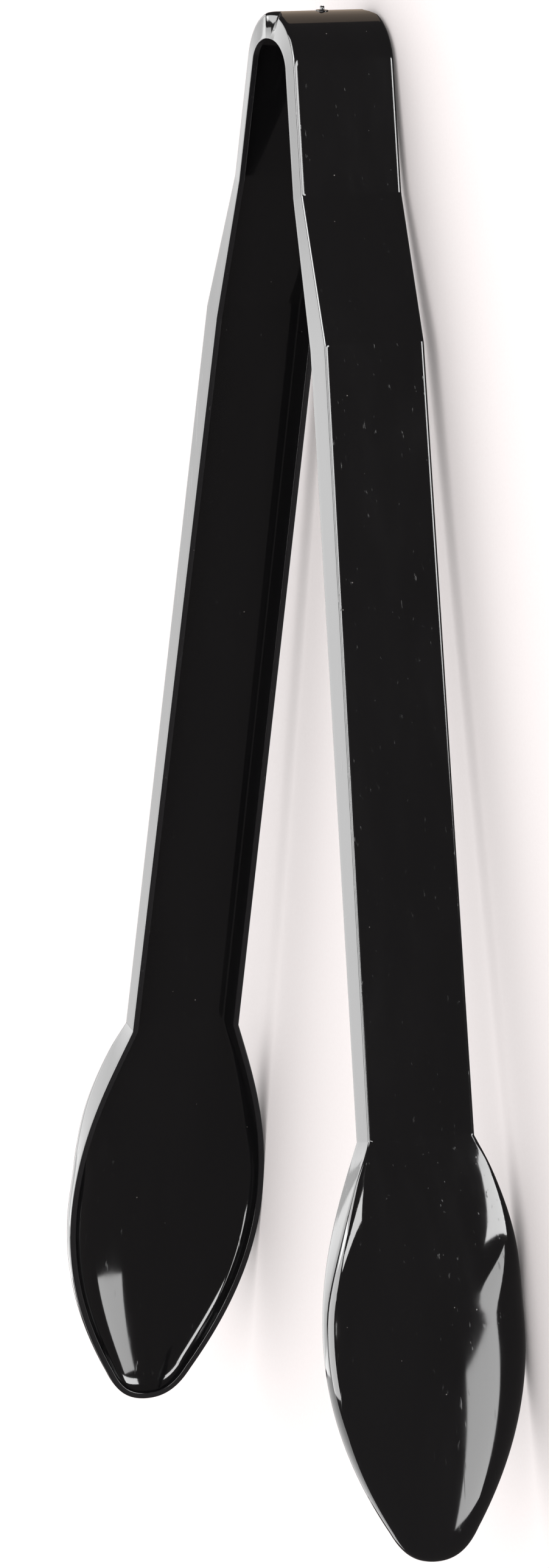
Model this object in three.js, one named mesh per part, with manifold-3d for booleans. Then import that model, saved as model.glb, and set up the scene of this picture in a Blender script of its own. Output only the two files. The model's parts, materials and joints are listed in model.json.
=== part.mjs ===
// Serving tongs: one springy moulding of gloss black polystyrene, bent over at the crown into two
// channel-section arms that end in leaf-shaped bowls. The moulding is drawn as the stretches between its
// bends, so that each arm can swing about the flexing bow.
//
// Millimetres. The tongs lie on their side edges, as on a table: +X runs towards the crown, the arms spread
// along Y and +Z is up. The origin is under the middle of the whole part, on the table.
import * as THREE from 'three';
import { LoftGeometry } from 'three/addons/geometries/LoftGeometry.js';
import { mergeVertices } from 'three/addons/utils/BufferGeometryUtils.js';
import Module from 'manifold-3d';

// Driving dimensions along an arm, measured on its outer face.
const BOW_RADIUS = 12.1;
const LEG_LENGTH = 26;
const SHOULDER_LENGTH = 31.4;
const HANDLE_LENGTH = 160.1;
const BOWL_LENGTH = 85.3;

// Driving angles. The splays are measured from the middle plane.
const SPLAY = THREE.MathUtils.degToRad(11.6); // the legs and the handles
const SHOULDER_ANGLE = THREE.MathUtils.degToRad(24.2);
const BOWL_BEND = THREE.MathUtils.degToRad(1.1); // how much less the bowls spread than the handles' rims
const CLOSING_ANGLE = THREE.MathUtils.degToRad(13.8); // an arm's swing in before the bowl tips meet

// Driving dimensions of the channel section: half widths of its outer face, and depths from that face to the
// rim.
const BOW_HALF = 11.1;
const SHOULDER_HALF = 11;
const NECK_HALF = 11.75;
const BOW_DEPTH = 3.85;
const CROWN_DEPTH = 5.5; // at the middle of the bow, where its walls are deepest
const SHOULDER_DEPTH = 6.9;
const NECK_DEPTH = 5.5;
const DRAFT = 0.4; // how much wider each side of the section is at its rim than at its outer face
const WALL = 1.3;
const WEB = 1.5;
const CORNER = 0.9;
const INNER_CORNER = 0.4;

// The bowl, over the distance from the neck. An upright lip runs round its rim, and its section below the lip
// is a superellipse, squarer towards the neck.
const BOWL_HALF = 22;
const BOWL_WIDEST = 40;
const BOWL_DEPTH = 9.2;
const BOWL_DEEPEST = 36;
const LIP = 0.9;
const LIP_SETTLED = 28; // the handle's walls have sunk to the lip's height here
const SQUARE_POWER = 9;
const ROUND_POWER = 2.3;
const CHANNEL_END = 8; // no sharp channel corner is left beyond this distance
const TIP_HALF = 1.6; // half width of the short flat that closes the tip
const HOLLOW_END_DEPTH = 0.1; // the hollow runs out to this depth inside the tip

// Details of the crown.
const NOTCH_DEPTH = 1.6;
const NOTCH_ANGLE = THREE.MathUtils.degToRad(16);
const GATE_RADIUS = 0.45;
const GATE_HEIGHT = 0.9;
const GATE_PAD_RADIUS = 1.3;
const GATE_PAD_HEIGHT = 0.15;

// Resolution, and the gap left between two stretches that are drawn apart.
const BOW_STEPS = 24;
const BOWL_STEPS = 7; // for each curve of its plan
const CORNER_STEPS = 3;
const WALL_STEPS = 2;
const WEB_STEPS = 3;
const GAP = 0.3;

const gloss = { color: 0x0b0b0c, roughness: 0.08, metalness: 0 };

// The direction that runs along an arm away from the crown, at an angle from the middle plane. An arm is drawn
// in the XY plane with the crown towards +X and the arm's outer face towards +Y.
function along(angle) {
  return new THREE.Vector2(-Math.cos(angle), Math.sin(angle));
}

// The direction square to that, out of the arm's outer face.
function outward(angle) {
  return new THREE.Vector2(Math.sin(angle), Math.cos(angle));
}

function stepped(from, direction, distance) {
  return from.clone().addScaledVector(direction, distance);
}

// The points where an arm's outer face bends, from the bow's centre at (0, 0).
const legStart = outward(SPLAY).multiplyScalar(BOW_RADIUS);
const firstBend = stepped(legStart, along(SPLAY), LEG_LENGTH);
const secondBend = stepped(firstBend, along(SHOULDER_ANGLE), SHOULDER_LENGTH);
const neck = stepped(secondBend, along(SPLAY), HANDLE_LENGTH);
const mitre = (SPLAY + SHOULDER_ANGLE) / 2;

// The sizes of one skin of a section, outer or inner: its half widths at the rim and at the face, and the
// depth between them.
function skin(rimHalf, faceHalf, depth, corner, bowlShape = {}) {
  return { rimHalf, faceHalf, depth, corner, roundness: 0, lip: 0, power: 2, ...bowlShape };
}

// A section stands on its rim point, on the arm's inner side, and faces out along a direction.
function station(outerPoint, angle, depth, faceHalf, pinch = 0) {
  const out = outward(angle);
  const rimHalf = faceHalf + DRAFT;
  return {
    rim: stepped(outerPoint, out, -depth),
    out,
    pinch,
    outer: skin(rimHalf, faceHalf, depth, CORNER),
    inner: skin(rimHalf - WALL, faceHalf - WALL, depth - WEB, INNER_CORNER),
  };
}

function moved(section, direction, distance) {
  return { ...section, rim: stepped(section.rim, direction, distance) };
}

// One side of a channel, from its rim to the middle of its web: a drafted wall, a round corner, a flat web.
function channelSide({ rimHalf, faceHalf, depth, corner }) {
  const side = [];
  for (let i = 0; i < WALL_STEPS; i++) {
    const down = i / WALL_STEPS;
    side.push(new THREE.Vector2(
      THREE.MathUtils.lerp(rimHalf, faceHalf, down),
      (depth - corner) * down,
    ));
  }
  for (let i = 0; i <= CORNER_STEPS; i++) {
    const turn = (i / CORNER_STEPS) * (Math.PI / 2);
    side.push(new THREE.Vector2(
      faceHalf - corner * (1 - Math.cos(turn)),
      depth - corner * (1 - Math.sin(turn)),
    ));
  }
  for (let i = 1; i <= WEB_STEPS; i++) {
    side.push(new THREE.Vector2((faceHalf - corner) * (1 - i / WEB_STEPS), depth));
  }
  return side;
}

// One side of a bowl, from its rim to its middle: an upright lip, then a quarter of a superellipse.
function bowlSide({ rimHalf, depth, lip, power }) {
  const side = [];
  for (let i = 0; i < WALL_STEPS; i++) {
    side.push(new THREE.Vector2(rimHalf, (lip * i) / WALL_STEPS));
  }
  const steps = CORNER_STEPS + WEB_STEPS;
  for (let i = 0; i <= steps; i++) {
    const turn = (i / steps) * (Math.PI / 2);
    side.push(new THREE.Vector2(
      i < steps ? rimHalf * Math.cos(turn) ** (2 / power) : 0,
      lip + (depth - lip) * Math.sin(turn) ** (2 / power),
    ));
  }
  return side;
}

// One side of a skin, between channel and bowl by its roundness. The pinch draws the outer corner inwards.
function sideOf(shape, pinch) {
  const channel = channelSide(shape);
  const bowl = bowlSide(shape);
  return channel.map((point, i) => {
    const drawn = point.clone().lerp(bowl[i], shape.roundness);
    if (pinch > 0) drawn.x -= pinch * (drawn.y / shape.depth) * (drawn.x / shape.rimHalf);
    return drawn;
  });
}

// The closed outline of a section in space: the outer skin from rim to rim, then the inner skin back.
function outline(section) {
  const outer = sideOf(section.outer, section.pinch);
  const inner = sideOf(section.inner, section.pinch);
  const mirrored = (side) => side.slice(0, -1).map((p) => new THREE.Vector2(-p.x, p.y));
  const loop = [...outer, ...mirrored(outer).reverse(), ...mirrored(inner), ...inner.slice().reverse()];
  return loop.map(({ x, y }) => {
    const base = stepped(section.rim, section.out, y);
    return new THREE.Vector3(base.x, base.y, x);
  });
}

function loft(name, sections) {
  const geometry = new LoftGeometry(sections.map(outline), { capStart: true, capEnd: true });
  const mesh = new THREE.Mesh(geometry, new THREE.MeshStandardMaterial(gloss));
  mesh.name = name;
  return mesh;
}

// A straight stretch between two sections, short of each by half the gap.
function stretch(name, from, to, angle) {
  const clear = GAP / 2;
  return loft(name, [moved(from, along(angle), clear), moved(to, along(angle), -clear)]);
}

// The bow turns through the crown from leg to leg, with a notch in each outer corner at the middle.
function bow() {
  const reach = Math.PI / 2 - SPLAY;
  const sections = [];
  for (let i = 0; i <= BOW_STEPS; i++) {
    const turn = THREE.MathUtils.lerp(reach, -reach, i / BOW_STEPS);
    const angle = Math.PI / 2 - turn;
    const pinch = NOTCH_DEPTH * Math.max(0, 1 - Math.abs(turn) / NOTCH_ANGLE);
    const depth = THREE.MathUtils.lerp(BOW_DEPTH, CROWN_DEPTH, Math.cos(turn) ** 2);
    const onFace = outward(angle).multiplyScalar(BOW_RADIUS);
    sections.push(station(onFace, angle, depth, BOW_HALF, pinch));
  }
  return loft('crown_bow', sections.reverse());
}

// The gate's stub stands on a low pad at the top of the crown, turned about +X.
function gateStub() {
  const sunk = BOW_RADIUS - WEB / 2;
  const profile = [
    [0, sunk],
    [GATE_PAD_RADIUS, sunk],
    [GATE_PAD_RADIUS, BOW_RADIUS + GATE_PAD_HEIGHT],
    [GATE_RADIUS, BOW_RADIUS + GATE_PAD_HEIGHT],
    [GATE_RADIUS, BOW_RADIUS + GATE_HEIGHT],
    [0, BOW_RADIUS + GATE_HEIGHT],
  ];
  const stub = new THREE.LatheGeometry(profile.map(([r, h]) => new THREE.Vector2(r, h)), 16);
  return stub.rotateZ(-Math.PI / 2);
}

const wasm = await Module();
wasm.setup();

function solidOf(geometry) {
  const bare = new THREE.BufferGeometry();
  bare.setAttribute('position', geometry.getAttribute('position'));
  bare.setIndex(geometry.getIndex());
  const merged = mergeVertices(bare, 1e-4);
  return new wasm.Manifold(new wasm.Mesh({
    numProp: 3,
    vertProperties: merged.attributes.position.array,
    triVerts: new Uint32Array(merged.index.array),
  }));
}

function geometryOf(solid) {
  const { vertProperties, triVerts } = solid.getMesh();
  const geometry = new THREE.BufferGeometry();
  geometry.setAttribute('position', new THREE.BufferAttribute(vertProperties, 3));
  geometry.setIndex(new THREE.BufferAttribute(triVerts, 1));
  geometry.computeVertexNormals();
  return geometry;
}

function crown() {
  const mesh = bow();
  mesh.geometry = geometryOf(solidOf(mesh.geometry).add(solidOf(gateStub())));
  return mesh;
}

// The half width of the bowl's rim over the distance from the neck: out to the widest place, in along a
// nearly straight flank, and round the blunt tip.
function bowlPlan() {
  const plan = new THREE.Path().moveTo(0, NECK_HALF + DRAFT);
  plan.bezierCurveTo(0.3 * BOWL_WIDEST, 17, 0.6 * BOWL_WIDEST, BOWL_HALF, BOWL_WIDEST, BOWL_HALF);
  plan.bezierCurveTo(56, BOWL_HALF, 69, 15.9, 79, 9.5);
  plan.bezierCurveTo(82.7, 7.4, BOWL_LENGTH, 5.3, BOWL_LENGTH, TIP_HALF);
  return plan;
}

// The depth of a skin below the rim plane: a parabola from the neck to the deepest place, then a quarter
// ellipse that runs out at the skin's own end.
function bowlDepth(distance, neckDepth, deepest, shallowest, end) {
  if (distance < BOWL_DEEPEST) {
    return deepest - (deepest - neckDepth) * (1 - distance / BOWL_DEEPEST) ** 2;
  }
  const run = Math.min(1, (distance - BOWL_DEEPEST) / (end - BOWL_DEEPEST));
  return shallowest + (deepest - shallowest) * Math.sqrt(1 - run ** 2);
}

// The two skins of a bowl's section at a distance from the neck.
function bowlSkins(distance, rimHalf) {
  const sunk = Math.max(0, 1 - distance / LIP_SETTLED) ** 1.6;
  const lip = LIP + (NECK_DEPTH - CORNER - LIP) * sunk;
  const shape = {
    roundness: THREE.MathUtils.smoothstep(distance, 0, CHANNEL_END),
    power: THREE.MathUtils.lerp(
      SQUARE_POWER,
      ROUND_POWER,
      THREE.MathUtils.smoothstep(distance, 0, BOWL_DEEPEST),
    ),
  };
  const outerDepth = bowlDepth(distance, NECK_DEPTH, BOWL_DEPTH, LIP, BOWL_LENGTH);
  const innerDepth = bowlDepth(
    distance,
    NECK_DEPTH - WEB,
    BOWL_DEPTH - WEB,
    HOLLOW_END_DEPTH,
    BOWL_LENGTH - WALL,
  );
  const innerHalf = rimHalf - Math.min(WALL, rimHalf / 2);
  const innerLip = Math.min(lip, innerDepth) / 2;
  return {
    outer: skin(rimHalf, rimHalf - DRAFT, outerDepth, CORNER, { ...shape, lip }),
    inner: skin(innerHalf, innerHalf - DRAFT, innerDepth, INNER_CORNER, { ...shape, lip: innerLip }),
  };
}

// A bowl follows on from its handle, with its rim in the plane of the handle's rim.
function bowl(name, neckSection, rimAngle) {
  const points = bowlPlan().getPoints(BOWL_STEPS);
  const plan = points.filter((p, i) => i === 0 || p.x > points[i - 1].x + 0.01);
  const first = moved(neckSection, along(rimAngle), GAP / 2);
  const sections = plan.map((p) => {
    const turned = THREE.MathUtils.smoothstep(p.x, 0, BOWL_DEEPEST);
    const out = first.out.clone().lerp(outward(rimAngle), turned).normalize();
    return { ...moved(first, along(rimAngle), p.x), out, ...bowlSkins(p.x, p.y) };
  });
  return loft(name, sections);
}

// One arm, drawn with its outer face towards +Y.
function arm(side) {
  const atLeg = station(legStart, SPLAY, BOW_DEPTH, BOW_HALF);
  const atFirstBend = station(firstBend, mitre, BOW_DEPTH, BOW_HALF);
  const atSecondBend = station(secondBend, mitre, SHOULDER_DEPTH, SHOULDER_HALF);
  const atNeck = station(neck, SPLAY, NECK_DEPTH, NECK_HALF);
  const rimRun = atNeck.rim.clone().sub(atSecondBend.rim);
  const rimAngle = Math.atan2(rimRun.y, -rimRun.x) - BOWL_BEND;

  // The leg's top is cut back towards its rim, so that the arm can swing in without meeting the bow.
  const cutBack = stepped(atLeg.rim, along(SPLAY), BOW_DEPTH * Math.tan(CLOSING_ANGLE) + GAP);
  const topOut = stepped(legStart, along(SPLAY), GAP).sub(cutBack);
  const top = { ...atLeg, rim: cutBack, out: topOut.divideScalar(BOW_DEPTH) };

  const group = new THREE.Group();
  group.add(
    loft(`${side}_leg`, [top, moved(atFirstBend, along(SPLAY), -GAP / 2)]),
    stretch(`${side}_shoulder`, atFirstBend, atSecondBend, SHOULDER_ANGLE),
    stretch(`${side}_handle`, atSecondBend, atNeck, SPLAY),
    bowl(`${side}_bowl`, atNeck, rimAngle),
  );
  return group;
}

// The whole moulding, drawn about the bow's centre with its middle plane at Z = 0.
const moulding = new THREE.Group();
const rightArm = arm('right');
const leftArm = arm('left');
leftArm.scale.y = -1;
moulding.add(crown(), rightArm, leftArm);

// At rest it touches the table at the widest place of each bowl and at the side edge of the bow.
const contactSpan = BOWL_WIDEST + HANDLE_LENGTH + SHOULDER_LENGTH + LEG_LENGTH;
const lean = Math.atan2(BOWL_HALF - BOW_HALF - DRAFT, contactSpan);
moulding.rotation.y = lean;
const part = new THREE.Group();
part.add(moulding);

// The origin goes under the middle of the part.
const extent = new THREE.Box3().setFromObject(part, true);
const middle = extent.getCenter(new THREE.Vector3());
moulding.position.set(-middle.x, -middle.y, -extent.min.z);

export default part;
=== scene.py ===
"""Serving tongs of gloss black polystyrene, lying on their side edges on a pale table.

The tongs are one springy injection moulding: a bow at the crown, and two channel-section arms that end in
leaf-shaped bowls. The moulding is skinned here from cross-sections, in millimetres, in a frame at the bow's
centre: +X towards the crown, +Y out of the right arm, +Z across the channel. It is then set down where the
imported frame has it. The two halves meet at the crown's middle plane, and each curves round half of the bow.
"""

import json
import logging
import math
from dataclasses import dataclass, replace
from enum import Enum
from typing import Any

import bpy
import numpy as np
from mathutils import Matrix, Quaternion, Vector


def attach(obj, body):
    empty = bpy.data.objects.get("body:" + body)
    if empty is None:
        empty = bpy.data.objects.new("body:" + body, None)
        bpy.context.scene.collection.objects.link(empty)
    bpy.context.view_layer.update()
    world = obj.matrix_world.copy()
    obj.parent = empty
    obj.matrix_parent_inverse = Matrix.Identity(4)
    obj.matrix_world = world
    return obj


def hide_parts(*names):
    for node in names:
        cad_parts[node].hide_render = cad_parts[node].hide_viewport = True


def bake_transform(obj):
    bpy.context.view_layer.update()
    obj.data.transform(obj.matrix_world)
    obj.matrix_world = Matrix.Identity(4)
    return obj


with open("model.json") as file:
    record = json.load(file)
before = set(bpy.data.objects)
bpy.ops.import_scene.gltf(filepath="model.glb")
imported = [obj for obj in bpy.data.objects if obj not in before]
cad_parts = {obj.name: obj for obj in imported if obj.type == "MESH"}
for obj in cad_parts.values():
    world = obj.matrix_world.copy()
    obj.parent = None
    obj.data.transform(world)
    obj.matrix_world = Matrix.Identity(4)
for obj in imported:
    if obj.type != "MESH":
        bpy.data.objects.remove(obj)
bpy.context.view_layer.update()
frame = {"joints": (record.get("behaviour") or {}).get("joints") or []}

LOG = logging.getLogger("tongs")
MM = 0.001
SOFTBOX_DISTANCE = 4.0
RIM_ATTRIBUTE = "rim_wear"


class Side(Enum):
    """Which way an arm spreads from the middle plane."""

    RIGHT = 1
    LEFT = -1


class Skin(Enum):
    """The two skins of the moulding's wall."""

    OUTER = 0
    INNER = 1


def smoothstep(value: float, low: float, high: float) -> float:
    """Rises smoothly from 0 at low to 1 at high."""
    share = min(1.0, max(0.0, (value - low) / (high - low)))
    return share * share * (3 - 2 * share)


def mixed(first: Any, second: Any, share: float) -> Any:
    """Mixes two numbers or vectors.

    Args:
        first: What share 0 gives.
        second: What share 1 gives.
        share: How far from the first to the second.

    Returns:
        The mixture.
    """
    return first + (second - first) * share


def along(angle: float) -> np.ndarray:
    """The direction that runs down an arm, at an angle in radians from the middle plane."""
    return np.array([-math.cos(angle), math.sin(angle)])


def outward(angle: float) -> np.ndarray:
    """The direction out of an arm's outer face, at an angle in radians from the middle plane."""
    return np.array([math.sin(angle), math.cos(angle)])


# --------------------------------------------------------------------------------------------------
# Cross-sections
# --------------------------------------------------------------------------------------------------


@dataclass(frozen=True)
class WallSize:
    """The moulding's wall, in millimetres."""

    wall: float = 1.3
    web: float = 1.5
    outer_corner: float = 0.9
    inner_corner: float = 0.45
    edge: float = 0.22
    edge_steps: int = 4
    wall_steps: int = 5
    corner_steps: int = 7
    web_steps: int = 11

    @property
    def points(self) -> int:
        """How many points one side of one skin has."""
        return self.edge_steps + 1 + self.wall_steps + self.corner_steps + self.web_steps


WALL = WallSize()


@dataclass(frozen=True)
class Station:
    """One cross-section, placed on the arm's centre plane.

    Attributes:
        rim: The point midway between the rim's two edges.
        face: The point in the middle of the outer face.
        run: The direction along the arm.
        rim_half: Half the width at the rim.
        face_half: Half the width at the outer face.
        pinch: How far the outer corners are drawn in.
        roundness: 0 for a channel and 1 for a bowl.
        lip: The height of the bowl's upright lip.
        power: How square the bowl's section is below the lip.
        inner_depth: The depth of the hollow.
        flank: The direction of the rim's plan, as its share along and across the arm.
    """

    rim: np.ndarray
    face: np.ndarray
    run: np.ndarray
    rim_half: float
    face_half: float
    inner_depth: float
    pinch: float = 0.0
    roundness: float = 0.0
    lip: float = 0.0
    power: float = 2.0
    flank: tuple[float, float] = (1.0, 0.0)

    @property
    def depth(self) -> float:
        """The depth from the rim to the outer face."""
        return float(np.linalg.norm(self.face - self.rim))

    def inset(self, distance: float) -> tuple[float, float]:
        """Where the rim's plan is when it is drawn in.

        Args:
            distance: How far it is drawn in.

        Returns:
            Its shift along the arm and its half width.
        """
        forward, sideways = self.flank
        return distance * sideways, self.rim_half - distance * forward

    def _edge(self, skin: Skin) -> list[tuple[float, float, float]]:
        """The rounded rim edge of a skin, as (across, height, shift) points."""
        points = []
        for i in range(WALL.edge_steps + 1):
            turn = math.pi / 2 * i / WALL.edge_steps
            drawn = WALL.edge * (1 - math.sin(turn))
            distance = drawn if skin is Skin.OUTER else WALL.wall - drawn
            shift, half = self.inset(distance)
            points.append((half, WALL.edge * (1 - math.cos(turn)), shift))
        return points

    def _channel(self, skin: Skin) -> list[tuple[float, float, float]]:
        """A drafted wall, a round corner and a flat web, as (across, height, shift) points."""
        outer = skin is Skin.OUTER
        shift, rim_half = self.inset(0 if outer else WALL.wall)
        face_half = self.face_half - (0 if outer else WALL.wall)
        depth = self.depth if outer else self.inner_depth
        corner = WALL.outer_corner if outer else WALL.inner_corner
        points = []
        for i in range(1, WALL.wall_steps + 1):
            down = i / WALL.wall_steps
            height = mixed(WALL.edge, depth - corner, down)
            points.append((mixed(rim_half, face_half, down), height, shift))
        for i in range(1, WALL.corner_steps + 1):
            turn = math.pi / 2 * i / WALL.corner_steps
            across = face_half - corner * (1 - math.cos(turn))
            points.append((across, depth - corner * (1 - math.sin(turn)), shift))
        for i in range(1, WALL.web_steps + 1):
            share = (i / WALL.web_steps) ** 1.5
            points.append(((face_half - corner) * (1 - share), depth, shift))
        return points

    def _bowl(self, skin: Skin) -> list[tuple[float, float, float]]:
        """An upright lip and a quarter of a superellipse, as (across, height, shift) points."""
        outer = skin is Skin.OUTER
        shift, half = self.inset(0 if outer else WALL.wall)
        depth = self.depth if outer else self.inner_depth
        lip = self.lip if outer else min(self.lip, depth) / 2
        edge = min(WALL.edge, lip)
        points = []
        for i in range(1, WALL.wall_steps + 1):
            points.append((half, mixed(edge, lip, i / WALL.wall_steps), shift))
        steps = WALL.corner_steps + WALL.web_steps
        for i in range(1, steps + 1):
            turn = math.pi / 2 * i / steps
            across = half * max(0.0, math.cos(turn)) ** (2 / self.power) if i < steps else 0.0
            points.append((across, lip + (depth - lip) * math.sin(turn) ** (2 / self.power), shift))
        return points

    def side(self, skin: Skin) -> np.ndarray:
        """One side of a skin, from its rim to its middle.

        Args:
            skin: The outer or the inner skin.

        Returns:
            Rows of across, height above the rim plane, and shift along the arm.
        """
        edge = np.array(self._edge(skin))
        if skin is Skin.INNER and self.roundness > 0:
            edge[:, 1] = np.minimum(edge[:, 1], max(self.inner_depth, 0.0) / 2)
        body = mixed(np.array(self._channel(skin)), np.array(self._bowl(skin)), self.roundness)
        points = np.vstack([edge, body])
        if self.pinch > 0:
            down = points[:, 1] / self.depth
            points[:, 0] -= self.pinch * down * points[:, 0] / self.rim_half
        return points

    def ring(self) -> np.ndarray:
        """The closed outline of the section, in millimetres in the bow's frame."""
        outer, inner = self.side(Skin.OUTER), self.side(Skin.INNER)
        flip = np.array([-1, 1, 1])
        loop = np.vstack([outer, (outer * flip)[-2::-1], inner * flip, inner[-2::-1]])
        up = (self.face - self.rim) / max(self.depth, 1e-9)
        plane = self.rim + loop[:, 1:2] * up + loop[:, 2:3] * self.run
        return np.column_stack([plane, loop[:, 0]])


# --------------------------------------------------------------------------------------------------
# The stretches of an arm
# --------------------------------------------------------------------------------------------------


@dataclass(frozen=True)
class Crown:
    """The bow at the crown, turned about the frame's origin, with a notch in each outer corner."""

    radius: float = 12.1
    half_width: float = 11.1
    depth: float = 3.85
    middle_depth: float = 5.5
    draft: float = 0.4
    notch_depth: float = 1.6
    notch_angle: float = math.radians(16)
    steps: int = 44

    def stations(self, splay: float) -> list[Station]:
        """Sections from the middle plane round to the leg.

        Args:
            splay: The leg's angle from the middle plane.

        Returns:
            The sections, from the crown's middle.
        """
        reach = math.pi / 2 - splay
        crease = math.radians(0.35)
        turns = [0.0, crease, 2.2 * crease]
        turns += list(np.linspace(4.5 * crease, self.notch_angle - crease, 9))
        turns += [self.notch_angle + crease]
        turns += list(np.linspace(self.notch_angle + 4 * crease, reach, self.steps - len(turns)))
        return [self._station(turn) for turn in turns]

    def _station(self, turn: float) -> Station:
        """The section at a turn from the middle plane."""
        angle = math.pi / 2 - turn
        out = outward(angle)
        depth = mixed(self.depth, self.middle_depth, math.cos(turn) ** 2)
        return Station(
            rim=out * (self.radius - depth),
            face=out * self.radius,
            run=along(angle),
            rim_half=self.half_width + self.draft,
            face_half=self.half_width,
            inner_depth=depth - WALL.web,
            pinch=self.notch_depth * max(0.0, 1 - turn / self.notch_angle),
        )


@dataclass(frozen=True)
class Bowl:
    """The leaf-shaped bowl. Distances run from the neck."""

    length: float = 85.3
    half_width: float = 22.0
    widest: float = 40.0
    depth: float = 9.2
    deepest: float = 36.0
    lip: float = 0.9
    lip_settled: float = 28.0
    square_power: float = 9.0
    round_power: float = 2.3
    channel_end: float = 8.0
    steps: int = 22

    def plan(self, neck_half: float) -> list[tuple[np.ndarray, np.ndarray]]:
        """The rim's plan: out to the widest place, in along a nearly straight flank, and round the tip.

        Args:
            neck_half: Half the rim's width at the neck.

        Returns:
            Pairs of a point and the unit direction of the rim there, both as (along, across).
        """
        wide, half, end = self.widest, self.half_width, self.length
        curves = [
            [(0, neck_half), (0.3 * wide, 17), (0.6 * wide, half), (wide, half)],
            [(wide, half), (56, half), (69, 15.9), (79, 9.5)],
            [(79, 9.5), (82.7, 7.4), (end, 4.8), (end, 0)],
        ]
        pairs = []
        for curve in curves:
            a, b, c, d = (np.array(p, float) for p in curve)
            for i in range(self.steps + 1):
                if pairs and i == 0:
                    continue
                t = i / self.steps
                s = 1 - t
                point = s**3 * a + 3 * s * s * t * b + 3 * s * t * t * c + t**3 * d
                slope = 3 * s * s * (b - a) + 6 * s * t * (c - b) + 3 * t * t * (d - c)
                pairs.append((point, slope / np.linalg.norm(slope)))
        return pairs

    def depth_at(self, distance: float, neck_depth: float, drop: float, last: float, end: float) -> float:
        """The depth of a skin below the rim plane.

        Args:
            distance: The distance from the neck.
            neck_depth: The depth of the skin at the neck.
            drop: How much shallower than the outer skin it is.
            last: The depth that it runs out at.
            end: The distance where it runs out.

        Returns:
            The depth: a parabola to the deepest place, then a quarter ellipse.
        """
        deepest = self.depth - drop
        if distance < self.deepest:
            return deepest - (deepest - neck_depth) * (1 - distance / self.deepest) ** 2
        run = min(1.0, (distance - self.deepest) / (end - self.deepest))
        return last + (deepest - last) * math.sqrt(max(0.0, 1 - run * run))

    def stations(self, neck: Station, run: np.ndarray) -> list[Station]:
        """Sections from just past the neck to the tip.

        Args:
            neck: The handle's last section.
            run: The direction of the rim plane along the bowl.

        Returns:
            The sections. The last one is closed up on itself.
        """
        square = np.array([run[1], -run[0]])
        first_out = (neck.face - neck.rim) / neck.depth
        made = []
        for point, slope in self.plan(neck.rim_half):
            distance, half = float(point[0]), float(point[1])
            out = mixed(first_out, square, smoothstep(distance, 0, self.deepest))
            out = out / np.linalg.norm(out)
            depth = self.depth_at(distance, neck.depth, 0, self.lip, self.length)
            flank = mixed(np.array([1.0, 0.0]), slope, smoothstep(distance, 0, 7))
            flank = flank / np.linalg.norm(flank)
            inner_at = distance + WALL.wall * flank[1]
            end = self.length - WALL.wall
            inner = self.depth_at(inner_at, neck.inner_depth, WALL.web, 0.0, end)
            sunk = max(0.0, 1 - distance / self.lip_settled) ** 1.6
            rim = neck.rim + run * distance
            made.append(
                Station(
                    rim=rim,
                    face=rim + out * depth,
                    run=run,
                    rim_half=half,
                    face_half=max(0.0, half - 0.4),
                    inner_depth=inner,
                    roundness=smoothstep(distance, 0, self.channel_end),
                    lip=self.lip + (neck.depth - WALL.outer_corner - self.lip) * sunk,
                    power=mixed(self.square_power, self.round_power, smoothstep(distance, 0, self.deepest)),
                    flank=(float(flank[0]), float(flank[1])),
                )
            )
        return made


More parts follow.
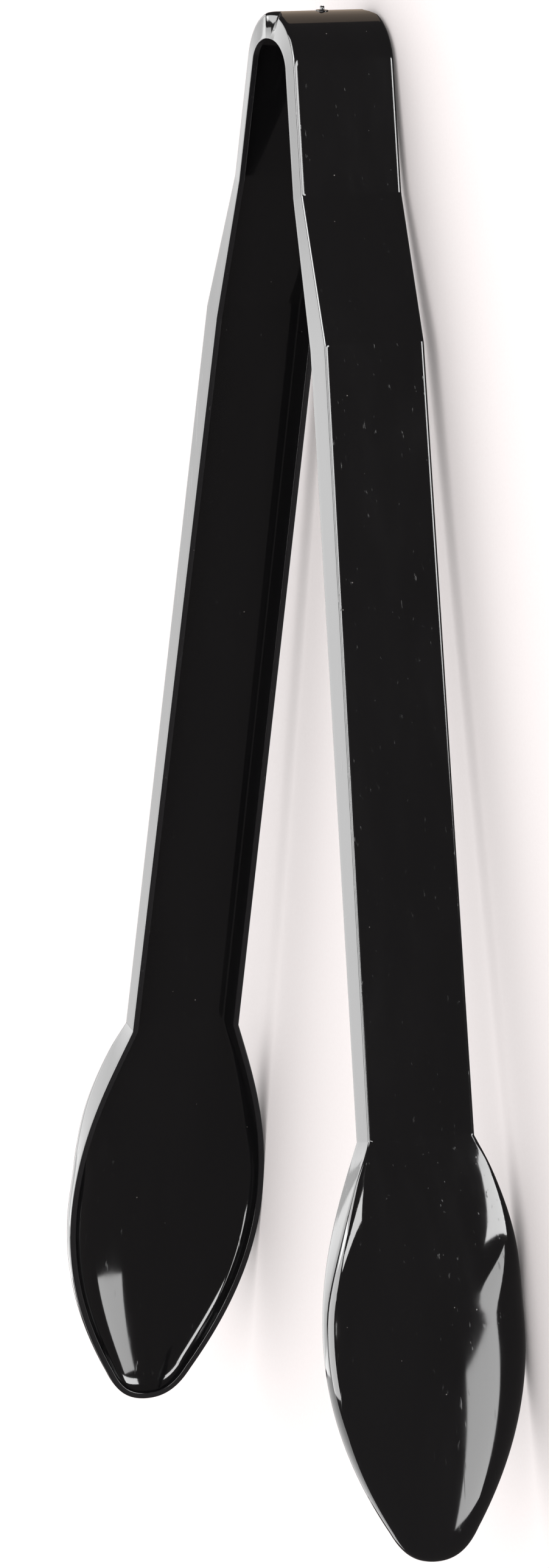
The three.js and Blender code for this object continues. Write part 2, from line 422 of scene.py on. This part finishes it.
@dataclass(frozen=True)
class Arm:
    """One arm as straight stretches between its bends, from the bow to the neck of the bowl."""

    leg: float = 26.0
    shoulder: float = 31.4
    handle: float = 160.1
    splay: float = math.radians(11.6)
    shoulder_angle: float = math.radians(24.2)
    bowl_bend: float = math.radians(1.1)
    shoulder_half: float = 11.0
    shoulder_depth: float = 6.9
    neck_half: float = 11.75
    neck_depth: float = 5.5
    draft: float = 0.4
    bend_radius: float = 1.2
    crown: Crown = Crown()
    bowl: Bowl = Bowl()

    def _bend(self, before: Station, at: Station, after: Station) -> list[Station]:
        """Sections round a bend, with a small radius on the outer face and on the rim.

        Args:
            before: A section on the stretch before the bend.
            at: The section at the bend.
            after: A section on the stretch after it.

        Returns:
            The sections that take the place of the one at the bend.
        """
        made = []
        for share in (0.0, 0.25, 0.5, 0.75, 1.0):
            points = []
            for name in ("rim", "face"):
                corner = getattr(at, name)
                come = getattr(before, name) - corner
                go = getattr(after, name) - corner
                come, go = come / np.linalg.norm(come), go / np.linalg.norm(go)
                reach = 0.35 * self.bend_radius
                first, last = corner + come * reach, corner + go * reach
                points.append(mixed(mixed(first, corner, share), mixed(corner, last, share), share))
            made.append(replace(at, rim=points[0], face=points[1]))
        return made

    def _stretch(self, start: Station, end: Station, steps: int) -> list[Station]:
        """Evenly spaced sections between two, without either of them."""
        made = []
        for i in range(1, steps):
            share = i / steps
            fields = ("rim", "face", "rim_half", "face_half", "inner_depth")
            values = {f: mixed(getattr(start, f), getattr(end, f), share) for f in fields}
            made.append(replace(start, **values))
        return made

    def _at(self, face: np.ndarray, angle: float, depth: float, half: float) -> Station:
        """A section of the channel on a point of the outer face."""
        return Station(
            rim=face - outward(angle) * depth,
            face=face,
            run=along(angle),
            rim_half=half + self.draft,
            face_half=half,
            inner_depth=depth - WALL.web,
        )

    def stations(self) -> list[Station]:
        """Every section of the arm, from the crown's middle plane to the bowl's tip."""
        crown = self.crown
        bow = crown.stations(self.splay)
        leg_start = bow[-1]
        first = leg_start.face + along(self.splay) * self.leg
        second = first + along(self.shoulder_angle) * self.shoulder
        last = second + along(self.splay) * self.handle
        mitre = (self.splay + self.shoulder_angle) / 2
        bend_1 = self._at(first, mitre, crown.depth, crown.half_width)
        bend_2 = self._at(second, mitre, self.shoulder_depth, self.shoulder_half)
        neck = self._at(last, self.splay, self.neck_depth, self.neck_half)
        turn_1 = self._bend(leg_start, bend_1, bend_2)
        turn_2 = self._bend(bend_1, bend_2, neck)
        handle_rim = neck.rim - bend_2.rim
        rim_angle = math.atan2(handle_rim[1], -handle_rim[0]) - self.bowl_bend
        before_neck = self._stretch(turn_2[-1], neck, 400)[-1]
        return [
            *bow,
            *self._stretch(leg_start, turn_1[0], 18),
            *turn_1,
            *self._stretch(turn_1[-1], turn_2[0], 12),
            *turn_2,
            *self._stretch(turn_2[-1], before_neck, 36),
            before_neck,
            *self.bowl.stations(neck, along(rim_angle)),
        ]


# --------------------------------------------------------------------------------------------------
# Placing and meshing
# --------------------------------------------------------------------------------------------------


@dataclass(frozen=True)
class Placement:
    """Where the bow's centre lies in the frame, and how far the tongs lean."""

    centre: np.ndarray
    lean: float

    @classmethod
    def from_frame(cls, arm: Arm) -> "Placement":
        """Finds the placement from the right arm's joint, which stands where the bow meets the leg.

        Args:
            arm: The arm's sizes.

        Returns:
            The placement, with its centre in metres.
        """
        joint = next(j for j in frame["joints"] if j["child"] == "right_arm")
        axis = np.array(joint["axis"], float)
        lean = math.atan2(abs(axis[0]), abs(axis[2]))
        on_web = outward(arm.splay) * (arm.crown.radius - WALL.web / 2) * MM
        place = cls(np.zeros(3), lean)
        offset = place.moved(np.array([[on_web[0], on_web[1], 0.0]]) / MM)[0]
        return cls(np.array(joint["pos_m"], float) - offset, lean)

    def moved(self, points: np.ndarray) -> np.ndarray:
        """Takes points in millimetres in the bow's frame to metres in the shared frame."""
        x, y, z = points[:, 0] * MM, points[:, 1] * MM, points[:, 2] * MM
        c, s = math.cos(self.lean), math.sin(self.lean)
        return np.column_stack([x * c + z * s, y, z * c - x * s]) + self.centre


@dataclass
class SkinMesh:
    """A closed skin as plain arrays, with a normal for each vertex."""

    vertices: np.ndarray
    faces: list[list[int]]
    wear: np.ndarray
    seam: np.ndarray

    def welded(self) -> "SkinMesh":
        """Joins vertices that lie on one another, and drops faces that this closes up."""
        keys = np.round(self.vertices / (0.002 * MM)).astype(np.int64)
        _, first, index = np.unique(keys, axis=0, return_index=True, return_inverse=True)
        index = index.reshape(-1)
        faces = []
        for face in self.faces:
            ring = [int(index[v]) for v in face]
            ring = [v for i, v in enumerate(ring) if v != ring[i - 1]]
            if len(set(ring)) == len(ring) > 2:
                faces.append(ring)
        return SkinMesh(self.vertices[first], faces, self.wear[first], self.seam[first])

    def normals(self, seam_axis: int) -> np.ndarray:
        """Normals weighted by face area, so that flats stay flat beside their small radii.

        Args:
            seam_axis: The axis square to the seam, which normals on the seam have no part of.

        Returns:
            One unit normal for each vertex.
        """
        total = np.zeros_like(self.vertices)
        for face in self.faces:
            if self.seam[face].all():
                continue
            p = self.vertices[face]
            area = np.zeros(3)
            for i in range(1, len(face) - 1):
                area += np.cross(p[i] - p[0], p[i + 1] - p[0])
            total[face] += area
        total[self.seam, seam_axis] = 0
        return total / np.maximum(np.linalg.norm(total, axis=1), 1e-20)[:, None]


@dataclass(frozen=True)
class HalfMoulding:
    """One half of the moulding: half of the bow and a whole arm, as one closed skin.

    Attributes:
        side: Which half it is.
        arm: The arm's sizes.
        clear_of_seam: How far below the bow's seam the bending starts, in millimetres. Not used.
        past_leg_start: How far past the start of the leg it ends, in millimetres. Not used.
    """

    side: Side
    arm: Arm = Arm()
    clear_of_seam: float = 0.7
    past_leg_start: float = 6.0

    def skin(self, place: Placement) -> SkinMesh:
        """Skins the sections, and closes the cut at the middle plane.

        Args:
            place: Where the tongs lie.

        Returns:
            The skin, wound so that its faces look outwards.
        """
        rings = np.array([s.ring() for s in self.arm.stations()])
        rows, count, _ = rings.shape
        points = rings.reshape(-1, 3).copy()
        points[:, 1] *= self.side.value
        points[:count, 1] = 0.0
        vertices = place.moved(points)
        n = WALL.points
        faces = []
        for i in range(rows - 1):
            for j in range(count):
                k = (j + 1) % count
                faces.append([i * count + j, i * count + k, (i + 1) * count + k, (i + 1) * count + j])
        last = count - 1
        for j in range(2 * n - 2):
            faces.append([j, last - j, last - j - 1, j + 1])
        if self.side is Side.LEFT:
            faces = [face[::-1] for face in faces]
        wear = np.zeros(count)
        for corner in (0, 2 * n - 2, 2 * n - 1, count - 1):
            reach = range(WALL.edge_steps + 1)
            inward = 1 if corner in (0, 2 * n - 1) else -1
            for step in reach:
                wear[corner + inward * step] = 1 - 0.8 * step / WALL.edge_steps
        seam = np.zeros(rows * count, bool)
        seam[:count] = True
        return SkinMesh(vertices, faces, np.tile(wear, rows), seam).welded()

    def build(self, place: Placement) -> bpy.types.Object:
        """Makes the half as a mesh object with its own normals.

        Args:
            place: Where the tongs lie.

        Returns:
            The object, not yet riding on anything.
        """
        skin = self.skin(place)
        name = f"{self.side.name.lower()}_half"
        mesh = bpy.data.meshes.new(name)
        mesh.from_pydata(skin.vertices.tolist(), [], skin.faces)
        mesh.polygons.foreach_set("use_smooth", [True] * len(mesh.polygons))
        wear = mesh.attributes.new(RIM_ATTRIBUTE, "FLOAT", "POINT")
        wear.data.foreach_set("value", skin.wear.astype(np.float32))
        mesh.validate()
        mesh.update()
        mesh.normals_split_custom_set_from_vertices(skin.normals(1).tolist())
        piece = bpy.data.objects.new(name, mesh)
        bpy.context.scene.collection.objects.link(piece)
        return piece

    def dress(self, piece: bpy.types.Object, place: Placement, finish: bpy.types.Material) -> None:
        """Gives the half its finish, and hides the imported crown and arm parts that it stands in for.

        Args:
            piece: The mesh object.
            place: Where the tongs lie. Not used.
            finish: The plastic.
        """
        piece.data.materials.append(finish)
        root = f"{self.side.name.lower()}_"
        parts = ("leg", "shoulder", "handle", "bowl")
        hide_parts("crown_bow", *(root + part for part in parts))
        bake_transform(piece)


@dataclass(frozen=True)
class GateStub:
    """What is left of the moulding's gate: a short sheared stub on a low round pad, on top of the crown."""

    radius: float = 0.45
    height: float = 0.9
    pad_radius: float = 1.3
    pad_height: float = 0.15
    sunk: float = 0.7
    around: int = 40

    def _profile(self) -> list[tuple[float, float]]:
        """Radius and height above the crown, from the outside of the pad in to the stub's axis."""
        points = [(self.pad_radius, -self.sunk), (self.pad_radius, 0.0)]
        for i in range(5):
            turn = math.pi / 2 * i / 4
            points.append(
                (
                    self.pad_radius - 0.12 * (1 - math.cos(turn)),
                    self.pad_height - 0.12 * (1 - math.sin(turn)),
                )
            )
        for i in range(5):
            turn = math.pi / 2 * i / 4
            root = self.radius + 0.15
            points.append((root - 0.15 * math.sin(turn), self.pad_height + 0.15 * (1 - math.cos(turn))))
        points.append((self.radius, self.height - 0.08))
        points.append((self.radius * 0.9, self.height - 0.02))
        points.append((self.radius * 0.55, self.height + 0.01))
        return points

    def build(self, place: Placement, crown: Crown) -> bpy.types.Object:
        """Turns the profile about the gate's axis and tears its sheared end.

        Args:
            place: Where the tongs lie.
            crown: The bow's sizes.

        Returns:
            The stub's mesh object.
        """
        profile = self._profile()
        points, faces = [], []
        for i, (radius, height) in enumerate(profile):
            torn = smoothstep(height, self.height - 0.2, self.height)
            for j in range(self.around):
                turn = 2 * math.pi * j / self.around
                ragged = 0.06 * math.sin(3 * turn + 0.6) + 0.035 * math.sin(7 * turn)
                up = crown.radius + height + torn * ragged
                points.append((up, radius * math.cos(turn), radius * math.sin(turn)))
                k = (j + 1) % self.around
                if i:
                    a, b = (i - 1) * self.around, i * self.around
                    faces.append([a + j, a + k, b + k, b + j])
        centre = len(points)
        points.append((crown.radius + self.height + 0.03, 0.0, 0.0))
        points.append((crown.radius - self.sunk, 0.0, 0.0))
        top = (len(profile) - 1) * self.around
        for j in range(self.around):
            k = (j + 1) % self.around
            faces.append([top + j, top + k, centre])
            faces.append([k, j, centre + 1])
        mesh = bpy.data.meshes.new("gate_stub")
        mesh.from_pydata(place.moved(np.array(points)).tolist(), [], faces)
        mesh.polygons.foreach_set("use_smooth", [True] * len(mesh.polygons))
        mesh.validate()
        mesh.update()
        piece = bpy.data.objects.new("gate_stub", mesh)
        bpy.context.scene.collection.objects.link(piece)
        return piece

    def dress(self, piece: bpy.types.Object, finish: bpy.types.Material) -> None:
        """Gives the stub its finish and fixes it to the crown."""
        piece.data.materials.append(finish)
        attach(piece, "crown")


# --------------------------------------------------------------------------------------------------
# Finishes
# --------------------------------------------------------------------------------------------------


def linear(hex_colour: str) -> tuple[float, float, float, float]:
    """Turns an sRGB hex colour into linear RGBA."""
    values = [int(hex_colour[i : i + 2], 16) / 255 for i in (1, 3, 5)]
    toned = [v / 12.92 if v <= 0.04045 else ((v + 0.055) / 1.055) ** 2.4 for v in values]
    return (toned[0], toned[1], toned[2], 1.0)


def add_node(tree: bpy.types.NodeTree, kind: str, settings: dict[str, Any], links: dict[str, Any]) -> Any:
    """Adds a node with its settings and links.

    Args:
        tree: The material's node tree.
        kind: The node's type, without "ShaderNode".
        settings: Values for the node's sockets, or else for its properties, by name. A number names a socket
            by its place.
        links: The output sockets that feed the node's inputs, by name or place.

    Returns:
        The node.
    """
    node = tree.nodes.new(f"ShaderNode{kind}")
    for name, value in settings.items():
        if isinstance(name, int) or name in node.inputs:
            node.inputs[name].default_value = value
        else:
            setattr(node, name, value)
    for name, output in links.items():
        tree.links.new(output, node.inputs[name])
    return node


def new_material(name: str) -> tuple[bpy.types.Material, bpy.types.NodeTree]:
    """An empty node material and its tree."""
    material = bpy.data.materials.new(name)
    material.use_nodes = True
    material.node_tree.nodes.clear()
    return material, material.node_tree


@dataclass(frozen=True)
class GlossPolystyrene:
    """Black general-purpose polystyrene, injection moulded in a polished tool.

    To the eye it is a deep, slightly cool black with a hard clear gloss: its reflections are sharp on the
    flats, and a little wavy where the melt flowed. Handling leaves the rim's edges a touch paler and duller.
    """

    body: str = "#0e0e0f"
    cloud: str = "#131314"
    rubbed: str = "#2a2a2c"
    dust: str = "#8d8a86"
    ior: float = 1.5
    roughness: float = 0.06
    flow_mm: float = 9.0
    ripple_mm: float = 16.0
    speck_mm: float = 5.0
    hairline_mm: float = 0.5
    ripple_height_mm: float = 0.012
    flow_height_mm: float = 0.003
    mark_height_mm: float = 0.004

    def build(self) -> bpy.types.Material:
        """Makes the plastic's material."""
        material, tree = new_material("gloss_moulded_polystyrene")
        place = add_node(tree, "TexCoord", {}, {})
        spot = place.outputs["Object"]

        # The melt ran down the arms, so its marks are drawn out along them.
        drawn_out = add_node(tree, "Mapping", {"Scale": (0.18, 1.0, 1.0)}, {"Vector": spot})
        flow = add_node(
            tree,
            "TexNoise",
            {"Scale": 1 / (self.flow_mm * MM), "Detail": 5.0, "Roughness": 0.6, "Distortion": 0.4},
            {"Vector": drawn_out.outputs[0]},
        )
        ripple = add_node(
            tree,
            "TexNoise",
            {"Scale": 1 / (self.ripple_mm * MM), "Detail": 1.5, "Roughness": 0.35},
            {"Vector": spot},
        )

        # Specks of dust and tiny pits, a few on each face.
        speck = add_node(
            tree,
            "TexVoronoi",
            {"Scale": 1 / (self.speck_mm * MM), "Randomness": 1.0},
            {"Vector": spot},
        )
        speck_seen = add_node(
            tree,
            "MapRange",
            {"From Min": 0.035, "From Max": 0.015, "To Min": 0.0, "To Max": 1.0},
            {"Value": speck.outputs["Distance"]},
        )

        # Hairline scratches from being stacked, drawn coarser than life so that they show.
        hair_place = add_node(
            tree, "Mapping", {"Rotation": (0.2, 0.4, 0.5), "Scale": (0.03, 1.0, 0.6)}, {"Vector": spot}
        )
        hair = add_node(
            tree,
            "TexNoise",
            {"Scale": 1 / (self.hairline_mm * MM), "Detail": 2.0},
            {"Vector": hair_place.outputs[0]},
        )
        hair_seen = add_node(
            tree,
            "MapRange",
            {"From Min": 0.68, "From Max": 0.76, "To Min": 0.0, "To Max": 1.0},
            {"Value": hair.outputs[0]},
        )
        wear = add_node(tree, "Attribute", {"attribute_name": RIM_ATTRIBUTE}, {})

        # Colour: clouded black, rubbed at the rim's edges, with the dust on top.
        clouded = add_node(
            tree,
            "Mix",
            {"data_type": "RGBA", 6: linear(self.body), 7: linear(self.cloud)},
            {0: flow.outputs[0]},
        )
        rub = add_node(
            tree, "Math", {"operation": "MULTIPLY", 1: 0.35}, {0: wear.outputs["Fac"]}
        )
        rubbed = add_node(
            tree,
            "Mix",
            {"data_type": "RGBA", 7: linear(self.rubbed)},
            {0: rub.outputs[0], 6: clouded.outputs[2]},
        )
        dust_share = add_node(
            tree, "Math", {"operation": "MULTIPLY", 1: 0.5}, {0: speck_seen.outputs[0]}
        )
        dusted = add_node(
            tree,
            "Mix",
            {"data_type": "RGBA", 7: linear(self.dust)},
            {0: dust_share.outputs[0], 6: rubbed.outputs[2]},
        )

        # Roughness: clear gloss, clouded a little by the flow, duller at specks, scratches and edges.
        gloss = add_node(
            tree,
            "MapRange",
            {
                "From Min": 0.35,
                "From Max": 0.75,
                "To Min": self.roughness - 0.02,
                "To Max": self.roughness + 0.05,
            },
            {"Value": flow.outputs[0]},
        )
        marks = add_node(
            tree,
            "Math",
            {"operation": "MAXIMUM"},
            {0: speck_seen.outputs[0], 1: hair_seen.outputs[0]},
        )
        duller = add_node(
            tree,
            "Math",
            {"operation": "MULTIPLY_ADD", 1: 0.16},
            {0: marks.outputs[0], 2: gloss.outputs[0]},
        )
        rough = add_node(
            tree,
            "Math",
            {"operation": "MULTIPLY_ADD", 1: 0.10, "use_clamp": True},
            {0: wear.outputs["Fac"], 2: duller.outputs[0]},
        )

        # Height, in metres: ripples of a few microns, flow marks finer still.
        rippled = add_node(
            tree,
            "Bump",
            {"Strength": 1.0, "Distance": self.ripple_height_mm * MM},
            {"Height": ripple.outputs[0]},
        )
        flowed = add_node(
            tree,
            "Bump",
            {"Strength": 1.0, "Distance": self.flow_height_mm * MM},
            {"Height": flow.outputs[0], "Normal": rippled.outputs[0]},
        )
        marked = add_node(
            tree,
            "Bump",
            {"Strength": 1.0, "Distance": self.mark_height_mm * MM},
            {"Height": marks.outputs[0], "Normal": flowed.outputs[0]},
        )
        shader = add_node(
            tree,
            "BsdfPrincipled",
            {"IOR": self.ior, "Metallic": 0.0, "Specular IOR Level": 0.5},
            {
                "Base Color": dusted.outputs[2],
                "Roughness": rough.outputs[0],
                "Normal": marked.outputs[0],
            },
        )
        add_node(tree, "OutputMaterial", {}, {"Surface": shader.outputs[0]})
        return material


@dataclass(frozen=True)
class TablePaper:
    """White coated paper on the table, rolled smooth: matt, with a faint fibre grain."""

    colour: str = "#f4f2f2"
    shade: str = "#f0eded"
    grain_mm: float = 0.8

    def build(self) -> bpy.types.Material:
        """Makes the paper's material."""
        material, tree = new_material("rolled_table_paper")
        place = add_node(tree, "TexCoord", {}, {})
        grain = add_node(
            tree,
            "TexNoise",
            {"Scale": 1 / (self.grain_mm * MM), "Detail": 3.0},
            {"Vector": place.outputs["Object"]},
        )
        tone = add_node(
            tree,
            "Mix",
            {"data_type": "RGBA", 6: linear(self.colour), 7: linear(self.shade)},
            {0: grain.outputs[0]},
        )
        shader = add_node(
            tree,
            "BsdfPrincipled",
            {"Roughness": 0.9, "Specular IOR Level": 0.15},
            {"Base Color": tone.outputs[2]},
        )
        add_node(tree, "OutputMaterial", {}, {"Surface": shader.outputs[0]})
        return material


# --------------------------------------------------------------------------------------------------
# The studio
# --------------------------------------------------------------------------------------------------


def direction(azimuth: float, elevation: float) -> Vector:
    """The unit direction at an azimuth from +X towards +Y and an elevation, in degrees."""
    a, e = math.radians(azimuth), math.radians(elevation)
    return Vector((math.cos(e) * math.cos(a), math.cos(e) * math.sin(a), math.sin(e)))


@dataclass(frozen=True)
class SoftBox:
    """A far rectangular softbox that the plastic mirrors, but that throws no light on the table.

    Attributes:
        name: The softbox's name.
        azimuth: Where it stands, in degrees.
        elevation: How high it stands, in degrees. Below 0 it is seen through the table, which isn't mirrored.
        spans: Its width and height as the tongs see them, in degrees.
        brightness: How bright its face is.
        colour: The colour of its face.
    """

    name: str
    azimuth: float
    elevation: float
    spans: tuple[float, float]
    brightness: float
    colour: str = "#ffffff"

    def build(self, aim: Vector) -> bpy.types.Object:
        """Hangs the softbox, facing the aim point."""
        width, height = (2 * SOFTBOX_DISTANCE * math.tan(math.radians(span) / 2) for span in self.spans)
        lamp = bpy.data.lights.new(self.name, "AREA")
        lamp.shape = "RECTANGLE"
        lamp.size, lamp.size_y = width, height
        lamp.energy = self.brightness * math.pi * width * height
        lamp.color = linear(self.colour)[:3]
        box = bpy.data.objects.new(self.name, lamp)
        towards = direction(self.azimuth, self.elevation)
        box.location = aim + towards * SOFTBOX_DISTANCE
        box.rotation_euler = towards.to_track_quat("Z", "Y").to_euler()
        box.visible_camera = False
        box.visible_diffuse = False
        bpy.context.scene.collection.objects.link(box)
        return box


@dataclass(frozen=True)
class Studio:
    """The table, the softboxes and the camera."""

    floor_size: float = 8.0
    backdrop: str = "#fbf8f8"
    tent: str = "#fffaf9"
    tent_brightness: float = 1.3
    room: str = "#fff6f4"
    room_brightness: float = 0.12
    view_azimuth: float = -77.5
    view_elevation: float = 23.34
    view_roll: float = -95.84
    view_distance: float = 2.3183
    view_aim_mm: tuple[float, float, float] = (-6.2, 0.0, 24.3)
    lens: float = 260.1
    boxes: tuple[SoftBox, ...] = (
        SoftBox("overhead", 95, 78, (36, 36), 10.5),
        SoftBox("overhead_end", 30, 66, (34, 24), 10.5),
        SoftBox("back_window", 90, 35, (36, 28), 5.6),
        SoftBox("back_window_sill", 95, 8, (34, 26), 2.7),
        SoftBox("back_side", 128, 36, (32, 50), 3.2),
        SoftBox("front_strip", 294, 37, (10, 76), 15.0),
        SoftBox("front_strip_foot", 290, -45, (14, 28), 14.5),
        SoftBox("low_panel", 254, -42, (26, 20), 8.0),
        SoftBox("brown_board", 55, -26, (60, 16), 0.7, colour="#e6cdb4"),
    )

    def build(self) -> None:
        """Sets up the whole studio."""
        aim = Vector(self.view_aim_mm) * MM
        for box in self.boxes:
            box.build(aim)
        self._floor()
        self._sky()
        self._camera(aim)
        bpy.context.scene.view_settings.view_transform = "Standard"

    def _floor(self) -> None:
        """Lays the paper on the table."""
        half = self.floor_size / 2
        mesh = bpy.data.meshes.new("table_paper")
        corners = [(-half, -half, 0), (half, -half, 0), (half, half, 0), (-half, half, 0)]
        mesh.from_pydata(corners, [], [(0, 1, 2, 3)])
        mesh.materials.append(TablePaper().build())
        floor = bpy.data.objects.new("table_paper", mesh)
        # The plastic mirrors the dim studio, and not the table, as it would held up clear of it.
        floor.visible_glossy = False
        floor.visible_shadow = False
        bpy.context.scene.collection.objects.link(floor)

    def _sky(self) -> None:
        """Lights the table as a light tent would, and lets the plastic mirror a darkened room."""
        world = bpy.data.worlds.new("studio_room")
        world.use_nodes = True
        tree = world.node_tree
        tree.nodes.clear()
        room = {"Color": linear(self.room), "Strength": self.room_brightness}
        dim = add_node(tree, "Background", room, {})
        tent = {"Color": linear(self.tent), "Strength": self.tent_brightness}
        lit = add_node(tree, "Background", tent, {})
        pale = add_node(tree, "Background", {"Color": linear(self.backdrop), "Strength": 1.0}, {})
        ray = add_node(tree, "LightPath", {}, {})
        mirrored = {0: ray.outputs["Is Glossy Ray"], 1: lit.outputs[0], 2: dim.outputs[0]}
        around = add_node(tree, "MixShader", {}, mirrored)
        seen = {0: ray.outputs["Is Camera Ray"], 1: around.outputs[0], 2: pale.outputs[0]}
        everything = add_node(tree, "MixShader", {}, seen)
        add_node(tree, "OutputWorld", {}, {"Surface": everything.outputs[0]})
        bpy.context.scene.world = world

    def _camera(self, aim: Vector) -> None:
        """Stands the camera, rolled so that the crown is at the top."""
        lens = bpy.data.cameras.new("camera")
        lens.lens = self.lens
        lens.sensor_width = 36.0
        lens.sensor_fit = "AUTO"
        lens.clip_end = 50.0
        camera = bpy.data.objects.new("camera", lens)
        towards = direction(self.view_azimuth, self.view_elevation)
        turn = towards.to_track_quat("Z", "Y") @ Quaternion((0, 0, 1), math.radians(self.view_roll))
        place = Matrix.Translation(aim + towards * self.view_distance)
        camera.matrix_world = place @ turn.to_matrix().to_4x4()
        bpy.context.scene.collection.objects.link(camera)
        bpy.context.scene.camera = camera


# --------------------------------------------------------------------------------------------------
# Main
# --------------------------------------------------------------------------------------------------


def main() -> None:
    """Builds the tongs and the studio."""
    logging.basicConfig(level=logging.INFO, format="%(name)s: %(message)s")
    arm = Arm()
    place = Placement.from_frame(arm)
    plastic = GlossPolystyrene().build()
    for side in Side:
        half = HalfMoulding(side, arm)
        piece = half.build(place)
        half.dress(piece, place, plastic)
        LOG.info("%s: %d faces", piece.name, len(piece.data.polygons))
    stub = GateStub()
    piece = stub.build(place, arm.crown)
    stub.dress(piece, plastic)
    LOG.info("%s: %d faces", piece.name, len(piece.data.polygons))
    Studio().build()


if __name__ == "__main__":
    main()
